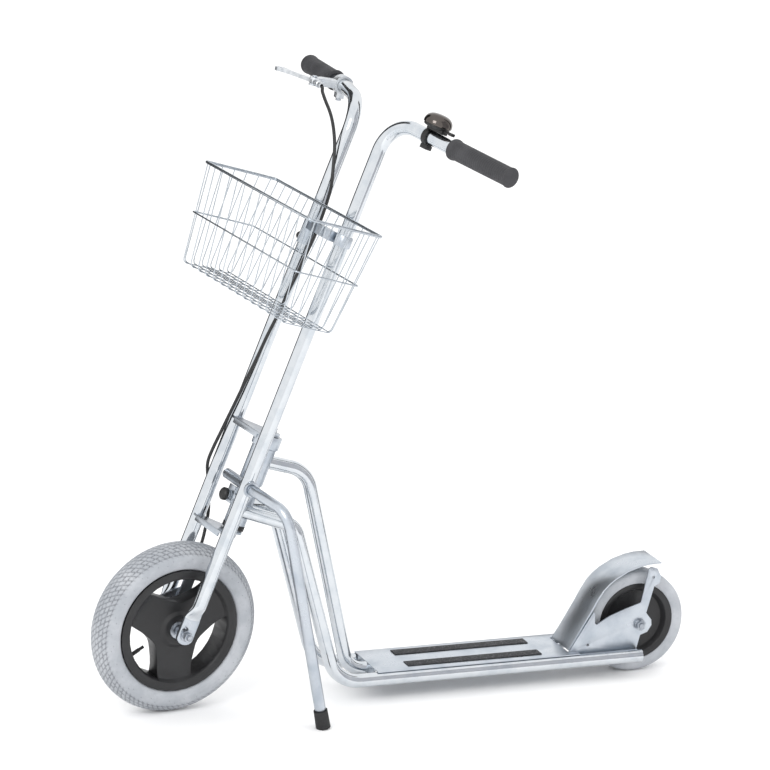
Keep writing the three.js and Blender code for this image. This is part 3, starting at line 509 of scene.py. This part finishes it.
def makeFoot(side):
    look = forkLook
    bm = bmesh.new()
    middle = -side * look["tabMiddle"]
    outline = []
    width = look["tabWidth"]
    for i in range(13):
        angle = math.pi + math.pi * i / 12
        outline.append((width * math.cos(angle), look["footEnd"] + 12 + 12 * math.sin(angle)))
    outline.append((width, look["flatBelow"] + 2))
    outline.append((-width, look["flatBelow"] + 2))

    def loop(points, y):
        made = [bm.verts.new(frontSpace @ (Vector((x - place["forkAhead"], y, z)))) for x, z in points]
        return [bm.edges.new((a, b)) for a, b in zip(made, made[1:] + made[:1])]
    hole = [(5.3 * math.cos(math.tau * i / 24), 5.3 * math.sin(math.tau * i / 24)) for i in range(24)]
    keyed = []
    for x, z in ((-4.5, -4.5), (4.5, -4.5), (4.5, 4.5), (-4.5, 4.5)):
        c, s = math.cos(0.5), math.sin(0.5)
        keyed.append((-6 + x * c + z * s, 11 - x * s + z * c))
    low, high = middle - look["tabHalf"], middle + look["tabHalf"]
    rings = [(loop(o, low), loop(o, high)) for o in (outline, hole, keyed)]
    for first, second in rings:
        bmesh.ops.bridge_loops(bm, edges=first + second)
    for k in (0, 1):
        bmesh.ops.triangle_fill(bm, use_beauty=True, edges=[e for pair in rings for e in pair[k]])
    bmesh.ops.recalc_face_normals(bm, faces=bm.faces)
    sharp = [e for e in bm.edges if len(e.link_faces) == 2 and e.calc_face_angle(0) > 0.6]
    bmesh.ops.bevel(bm, geom=sharp, offset=0.0005, segments=2, profile=0.5, affect="EDGES",
                    clamp_overlap=True, material=-1)
    name = "fork_foot_" + ("left" if side > 0 else "right")
    show(name, bm, "front_end", zincSheet, (), 30)


makeFoot(1)
makeFoot(-1)


def frameTube(name, corners, hollow=False):
    bm = bmesh.new()
    points = rounded([(Vector(p), bend) for p, bend in corners], tubeSize["arcStep"])
    sides = tubeSize["sides"]
    sweep(bm, frameSpace, points, tubeSize["radius"], sides)
    if hollow:
        end = [f for f in bm.faces if len(f.verts) == sides]
        last = max(end, key=lambda f: f.calc_center_median().x)
        bmesh.ops.inset_region(bm, faces=[last], thickness=0.0015, use_even_offset=True)
        deep = bmesh.ops.extrude_discrete_faces(bm, faces=[last])["faces"]
        bmesh.ops.translate(bm, verts=deep[0].verts, vec=(-0.03, 0, 0))
    show(name + "_round", bm, "frame", zinc, (name,))


print("frame tubes")
frameTube("main_tube", [((150, 0, 452), 0), ((244.2, 0, 425.4), 55), ((336.3, 0, 44), 40),
                        ((372.7, 0, 44), 0)])
for side, name in ((-1, "side_tube_left"), (1, "side_tube_right")):
    frameTube(name, [((117.4, side * 15.1, 364.8), 0), ((205, side * 55.3, 342), 28),
                     ((293, side * 55.3, 41.6), 62), ((895, side * 55.3, 41.6), 0)], True)

for node in ("head_tube", "deck_plate", "rear_plate_left", "rear_plate_right", "rear_fender",
             "cross_plate_upper", "cross_plate_lower", "bracket_clamp_left", "bracket_clamp_right",
             "bracket_bar", "brake_back_plate", "brake_arm", "stand_sleeve", "stand_leg"):
    refined(node, zincSheet, 0.4)
refined("lock_plunger", zincSheet, 0.2)
for node in ("upper_bush", "lower_bush", "rear_axle", "rear_axle_nut_left", "rear_axle_nut_right",
             "rear_bearing_left", "rear_bearing_right", "front_bearing_left", "front_bearing_right",
             "brake_drum", "pivot_bolt", "pivot_nut", "lever_pivot_pin", "perch_clamp_bolt",
             "front_axle", "front_axle_nut_left", "front_axle_nut_right", "cable_stop"):
    refined(node, steel, 0.3)
for node in ("brake_perch", "brake_lever", "cable_adjuster"):
    refined(node, cast, 0.6, 3)
for node in ("bell_base", "bell_lever", "basket_knob", "lock_knob"):
    refined(node, blackPlastic, 0.5)
for node in ("dust_ring", "valve_stem", "stand_foot"):
    refined(node, darkRubber, 0.3)
for node in ("grip_strip_left", "grip_strip_right"):
    refined(node, grit, 0.3)
print("plates, nuts and small parts")

cableLook = {
    "radius": 3.0,  # mm
    "sides": 20,
}
cablePoints = [  # ahead, left, up
    (30.2, -145, 977.4), (30.1, -142, 974.6), (30, -137, 969), (29.3, -118, 957.5),
    (28.2, -100, 947.5), (26.8, -86.5, 938), (25, -74.2, 926.5), (23, -63.4, 913.5),
    (20.5, -53.8, 898.5), (17, -46.5, 880), (14, -34, 850), (9, -29.5, 825), (4, -32, 798),
    (0, -36, 770), (-1, -37, 740), (1, -37, 705), (5, -36, 655), (9, -34, 605), (14, -33, 570),
    (17, -34, 538), (17.5, -38, 496), (17, -45, 455), (17, -51, 413), (17, -60, 353),
    (17, -66, 310), (12, -72, 285), (0, -75, 262), (-12, -71, 235), (-19, -61, 205),
    (-20, -51, 175), (-20.5, -45.5, 150), (-20.5, -44.6, 122),
]
cableMesh = bmesh.new()
cableLine = curved([at(*p) for p in cablePoints], 6)
sweep(cableMesh, frontSpace, cableLine, cableLook["radius"], cableLook["sides"])
show("cable_sheath", cableMesh, "front_end", cableBlack, ("brake_cable",))

basketLook = {
    "rimRadius": 2.8,  # mm
    "bandRadius": 1.5,
    "wireRadius": 1.05,
    "longWires": 14,
    "endWires": 6,
    "floorWires": 1,
    "floor": (50.6, 153.2, 196.2, 608.0),  # back, front, half length, height
    "rim": (18.0, 166.5, 196.5, 791.3),
    "rimBend": 6,
    "footBend": 9,
    "tip": 3.8,  # degrees, nose of the basket dips
}


def makeBasket():
    print("basket")
    look = basketLook
    bm = bmesh.new()
    backFoot, frontFoot, halfFoot, low = look["floor"]
    backTop, frontTop, halfTop, high = look["rim"]
    hinge = at(backTop, 0, high)
    tipped = frontSpace @ Matrix.Translation(hinge)
    tipped = tipped @ Matrix.Rotation(-math.radians(look["tip"]), 4, "Y") @ Matrix.Translation(-hinge)
    thin = look["wireRadius"]

    def loop(share, radius, out, sides):
        back = backFoot + (backTop - backFoot) * share - out
        front = frontFoot + (frontTop - frontFoot) * share + out
        half = halfFoot + (halfTop - halfFoot) * share + out
        up = low + (high - low) * share
        bend = look["rimBend"]
        corners = [at(back, -half, up), at(front, -half, up), at(front, half, up), at(back, half, up)]
        middle = (corners[0] + corners[3]) / 2
        path = rounded([(middle, 0)] + [(c, bend) for c in corners] + [(middle, 0)], 15)
        sweep(bm, tipped, path[:-1], radius, sides, closed=True)
    loop(1.0, look["rimRadius"], 0.0, 16)
    loop(0.5, look["bandRadius"], thin + 0.4, 10)

    def wire(corners, bends):
        sweep(bm, tipped, rounded(list(zip(corners, bends)), 18), thin, 8)
    bends = [0, look["footBend"], look["footBend"], 0]
    for i in range(look["longWires"]):
        share = -1 + 2 * (i + 0.3) / (look["longWires"] - 0.4)
        foot, top = halfFoot * share, halfTop * share
        wire([at(backTop, top, high), at(backFoot, foot, low), at(frontFoot, foot, low),
              at(frontTop, top, high)], bends)
    lift = thin * 2
    for i in range(look["endWires"]):
        share = (i + 0.4) / (look["endWires"] - 0.2)
        foot = backFoot + (frontFoot - backFoot) * share
        top = backTop + (frontTop - backTop) * share
        wire([at(top, -halfTop, high), at(foot, -halfFoot, low + lift), at(foot, halfFoot, low + lift),
              at(top, halfTop, high)], bends)
    for i in range(look["floorWires"]):
        foot = backFoot + (frontFoot - backFoot) * (i + 0.9) / (look["floorWires"] + 0.8)
        wire([at(foot, -halfFoot + 4, low + lift), at(foot, halfFoot - 4, low + lift)], [0, 0])
    show("wire_basket", bm, "front_end", wireZinc, ("basket", "basket_rim"))


makeBasket()

frontTyre = {
    "ringRadius": 127.5,  # mm, middle of the tube
    "tubeRadius": 30.0,
    "blocks": 88,
    "grooveDepth": 1.6,
    "grooveWidth": 0.3,  # share of a block
    "treadEdge": 1.02,  # radians round the tube from its crown
    "steps": 840,
    "nibs": 46,
}


def makeFrontTyre():
    print("front tyre")
    look = frontTyre
    bm = bmesh.new()
    # this layer holds painted shade: how far each point of the tread is darkened for shade in the grooves
    groovePaintedShade = bm.verts.layers.float.new("groovePaintedShade")
    space = wheelSpace @ aboutY
    start = math.radians(218)
    major, tube = look["ringRadius"], look["tubeRadius"]
    sections = 64
    profile = []
    for i in range(sections + 1):
        angle = -start / 2 + start * i / sections
        profile.append((major + tube * math.cos(angle), tube * math.sin(angle)))
    profile += [(112.5, 22.0), (112.5, -22.0)]
    spun(bm, space, profile, look["steps"])
    back = space.inverted()

    def line(position, width):  # 1 in the middle of a grooved line, 0 away from it
        off = abs(position % 1 - 0.5) * 2
        return max(0.0, 1 - (1 - off) / width)
    for vert in bm.verts:
        local = back @ vert.co
        ring = math.hypot(local.x, local.y)
        across = math.atan2(local.z, ring - major)
        if ring < 113.2:
            continue
        turns = math.atan2(local.y, local.x) / math.tau * look["blocks"]
        side = abs(across)
        width = look["grooveWidth"]
        dip = 0.0
        if side < look["treadEdge"]:
            zigzag = 0.5 * abs((turns * 0.5) % 1 - 0.5)
            lane = across * 4.1 + zigzag
            dip = max(line(turns + across * 2.6, width * 0.9), line(lane, width * 1.1) * 0.9)
        elif side < look["treadEdge"] + 0.16:
            dip = line(turns + across * 2.6, width) * (1 - (side - look["treadEdge"]) / 0.16)
        elif 1.5 < side < 1.55 or 1.64 < side < 1.69 or 1.78 < side < 1.83:
            dip = -0.28
        if dip:
            out = Vector((local.x / ring, local.y / ring, 0)) * math.cos(across)
            out.z = math.sin(across)
            vert.co = space @ (local - out * dip * look["grooveDepth"])
            vert[groovePaintedShade] = max(dip, 0.0)
    for i in range(look["nibs"]):
        turn = math.tau * (i + 0.3 * math.sin(i * 2.4)) / look["nibs"]
        for side in (-1, 1):
            lean = side * (1.32 if i % 2 else 1.48)
            local = Vector(((major + tube * math.cos(lean)) * math.cos(turn),
                            (major + tube * math.cos(lean)) * math.sin(turn), tube * math.sin(lean)))
            out = Vector((math.cos(turn) * math.cos(lean), math.sin(turn) * math.cos(lean),
                          math.sin(lean)))
            spin = out.to_track_quat("Z", "Y").to_matrix().to_4x4()
            made = bmesh.ops.create_cone(bm, cap_ends=True, segments=6, radius1=0.75, radius2=0.5, depth=1.6,
                                         matrix=space @ Matrix.Translation(local) @ spin)
            for vert in made["verts"]:
                # painted shade: the nibs are coloured dark, as shaded dots
                vert[groovePaintedShade] = 0.8
    show("front_tyre_tread", bm, "front_wheel", tyreGrey, ("front_tyre",), 60)


makeFrontTyre()

rearTyre = {
    "radius": 96.5,  # mm
    "hubRadius": 73.0,
    "half": 25.0,
    "round": 8.0,
    "steps": 192,
}


def makeRearWheel():
    print("rear wheel")
    look = rearTyre
    bm = bmesh.new()
    space = rearSpace @ aboutY
    profile = [(look["hubRadius"] + 0.3, -look["half"] + 2), (look["hubRadius"] + 3, -look["half"])]
    bend = look["round"]
    for i in range(9):
        angle = -math.pi / 2 + math.pi / 2 * i / 8
        profile.append((look["radius"] - 1 - bend + bend * math.cos(angle),
                        -look["half"] + bend + bend * math.sin(angle)))
    profile.append((look["radius"] - 0.2, -8))
    profile.append((look["radius"], 0))
    profile += [(r, -y) for r, y in reversed(profile[:-1])]
    spun(bm, space, profile, look["steps"])
    show("rear_tyre_band", bm, "rear_wheel", tyreGrey, ("rear_tyre",))
    refined("rear_hub", rimPlastic, 0.8)


makeRearWheel()
refined("front_rim", rimPlastic, 0.9)

gripLook = {
    "ribs": 26,
    "ribDepth": 0.5,  # mm
    "ribbed": 134,  # length that has ribs
}


def makeGrip(name, side):
    outer = barEnd[side]
    along = (barKink[side] - outer).normalized()
    space = frontSpace @ Matrix.Translation(outer) @ along.to_track_quat("Z", "Y").to_matrix().to_4x4()
    profile = [(0, -4.5), (14.5, -4.5), (17, -4.0), (18, -2.6), (18, -1), (17.4, 0.4)]
    count = gripLook["ribs"]
    for i in range(count):
        low = 3 + gripLook["ribbed"] * i / count
        pitch = gripLook["ribbed"] / count
        outerR = 16.8 + 0.3 * i / count
        profile += [(outerR - gripLook["ribDepth"], low), (outerR, low + pitch * 0.3),
                    (outerR, low + pitch * 0.75), (outerR - gripLook["ribDepth"], low + pitch * 0.95)]
    profile += [(17.2, 139), (18.6, 143), (19, 146), (18.7, 148.6), (18, 149), (12.8, 149), (12.8, 140),
                (0, 140)]
    bm = bmesh.new()
    spun(bm, space, profile, 64)
    show(name + "_ribbed", bm, "front_end", gripRubber, (name,), 50)


makeGrip("grip_left", 1)
makeGrip("grip_right", -1)

bellLook = {
    "along": 154,  # mm from the middle, its clamp on the left bar
    "radius": 25.7,
    "height": 20,
}


def makeBell():
    inner, outer = barKink[1], barEnd[1]
    share = (bellLook["along"] - kinkOut) / (endOut - kinkOut)
    centre = inner.lerp(outer, share)
    out = (outer - inner).normalized()
    turn = Vector((0, -1, 0)).rotation_difference(out).to_matrix().to_4x4()
    space = frontSpace @ Matrix.Translation(centre) @ turn @ Matrix.Translation((-4, -10.6, 0))
    r = bellLook["radius"]
    profile = [(r - 1.6, 24.4), (r - 0.4, 24.4), (r, 25.2), (r, 26.5)]
    for i in range(1, 21):
        angle = math.pi / 2 * i / 20
        flat = math.sin(angle) ** 0.9
        wide = r * math.cos(angle) ** 0.75 if i < 20 else 0
        profile.append((wide, 26.5 + (bellLook["height"] - 2.1) * flat))
    inside = [(0, profile[-1][1] - 1.5), (12, 40.5), (19, 36.5), (r - 2.2, 28)]
    bm = bmesh.new()
    spun(bm, space, profile + inside, 96)
    show("bell_cap", bm, "front_end", bellChrome, ("bell_dome",))


makeBell()
print("controls made")

studio = {
    "floorTone": 0.97,
    "skyStrength": 1.22,
    "keyPower": 75.0,  # W
    "fillPower": 30.0,
    "cameraPlace": (-2.6955, -6.5885, 2.4871),
    "cameraTurn": -22.02,  # degrees round from straight along +Y
    "cameraDown": 15.07,
    "cameraRoll": 2.38,
    "lens": 193.6,
}


def makeStudio():
    scene = bpy.context.scene
    scene.view_settings.view_transform = "Standard"
    shade = Shade("floorCard")
    tone = studio["floorTone"]
    cloud = shade.noise(0.7, 2)
    shade.set(Base_Color=shade.blend(cloud, (tone, tone, tone), (tone - 0.01, tone - 0.01, tone - 0.005)))
    shade.set(Roughness=0.85 + cloud * 0.05)
    bm = bmesh.new()
    bmesh.ops.create_grid(bm, x_segments=8, y_segments=8, size=40)
    mesh = bpy.data.meshes.new("floor")
    bm.to_mesh(mesh)
    bm.free()
    mesh.materials.append(shade.material)
    floor = bpy.data.objects.new("floor", mesh)
    scene.collection.objects.link(floor)

    world = bpy.data.worlds.new("studio")
    world.use_nodes = True
    scene.world = world
    back = world.node_tree.nodes["Background"]
    back.inputs[0].default_value = (1, 1, 1, 1)
    back.inputs[1].default_value = studio["skyStrength"]

    def lamp(name, where, target, size, power):
        light = bpy.data.lights.new(name, "AREA")
        light.shape = "RECTANGLE"
        light.size, light.size_y = size
        light.energy = power
        made = bpy.data.objects.new(name, light)
        made.location = where
        made.rotation_euler = (Vector(target) - Vector(where)).to_track_quat("-Z", "Y").to_euler()
        scene.collection.objects.link(made)
    lamp("key", (-3.5, -3.0, 3.6), (0, 0, 0.4), (2.2, 2.2), studio["keyPower"])
    lamp("fill", (3.6, -3.2, 2.4), (0, 0, 0.4), (2.0, 2.0), studio["fillPower"])

    def cardMaterial(name, tone):
        made = Shade(name)
        mottle = made.noise(3, 2)
        pale = (tone * 1.2, tone * 1.2, tone * 1.25)
        made.set(Base_Color=made.blend(mottle, (tone, tone, tone * 1.05), pale))
        made.set(Roughness=0.7 + mottle * 0.1)
        return made.material

    def card(name, material, degrees, far, wide, tall, low=0.0):  # seen only in reflections
        turn = math.radians(studio["cameraTurn"] + degrees)  # to the right of the camera's side
        centre = Vector((math.sin(turn), -math.cos(turn), 0)) * far
        side = Vector((math.cos(turn), math.sin(turn), 0))
        bm = bmesh.new()
        bmesh.ops.create_grid(bm, x_segments=1, y_segments=1, size=0.5)
        for vert in bm.verts:
            vert.co = centre + side * vert.co.x * wide + Vector((0, 0, low + (vert.co.y + 0.5) * tall))
        mesh = bpy.data.meshes.new(name)
        bm.to_mesh(mesh)
        bm.free()
        mesh.materials.append(material)
        made = bpy.data.objects.new(name, mesh)
        made.visible_camera = False
        made.visible_diffuse = False
        made.visible_shadow = False
        scene.collection.objects.link(made)
    black = cardMaterial("blackCard", 0.02)
    grey = cardMaterial("greyCard", 0.42)
    card("card_left", black, -133, 1.7, 1.25, 3.2)
    card("card_right", grey, 64, 2.2, 2.3, 3.2)
    card("card_edge", black, 112, 1.9, 0.5, 3.2)

    turn, down, roll = (math.radians(studio[k]) for k in ("cameraTurn", "cameraDown", "cameraRoll"))
    ahead = Vector((-math.sin(turn) * math.cos(down), math.cos(turn) * math.cos(down), -math.sin(down)))
    right = Vector((math.cos(turn), math.sin(turn), 0))
    up = right.cross(ahead)
    rolledRight = right * math.cos(roll) + up * math.sin(roll)
    rolledUp = up * math.cos(roll) - right * math.sin(roll)
    camera = bpy.data.cameras.new("camera")
    camera.lens = studio["lens"]
    camera.sensor_width = 36
    camera.clip_end = 200
    made = bpy.data.objects.new("camera", camera)
    turned = Matrix((rolledRight, rolledUp, -ahead)).transposed().to_4x4()
    made.matrix_world = Matrix.Translation(studio["cameraPlace"]) @ turned
    scene.collection.objects.link(made)
    scene.camera = made


makeStudio()
print("studio set")
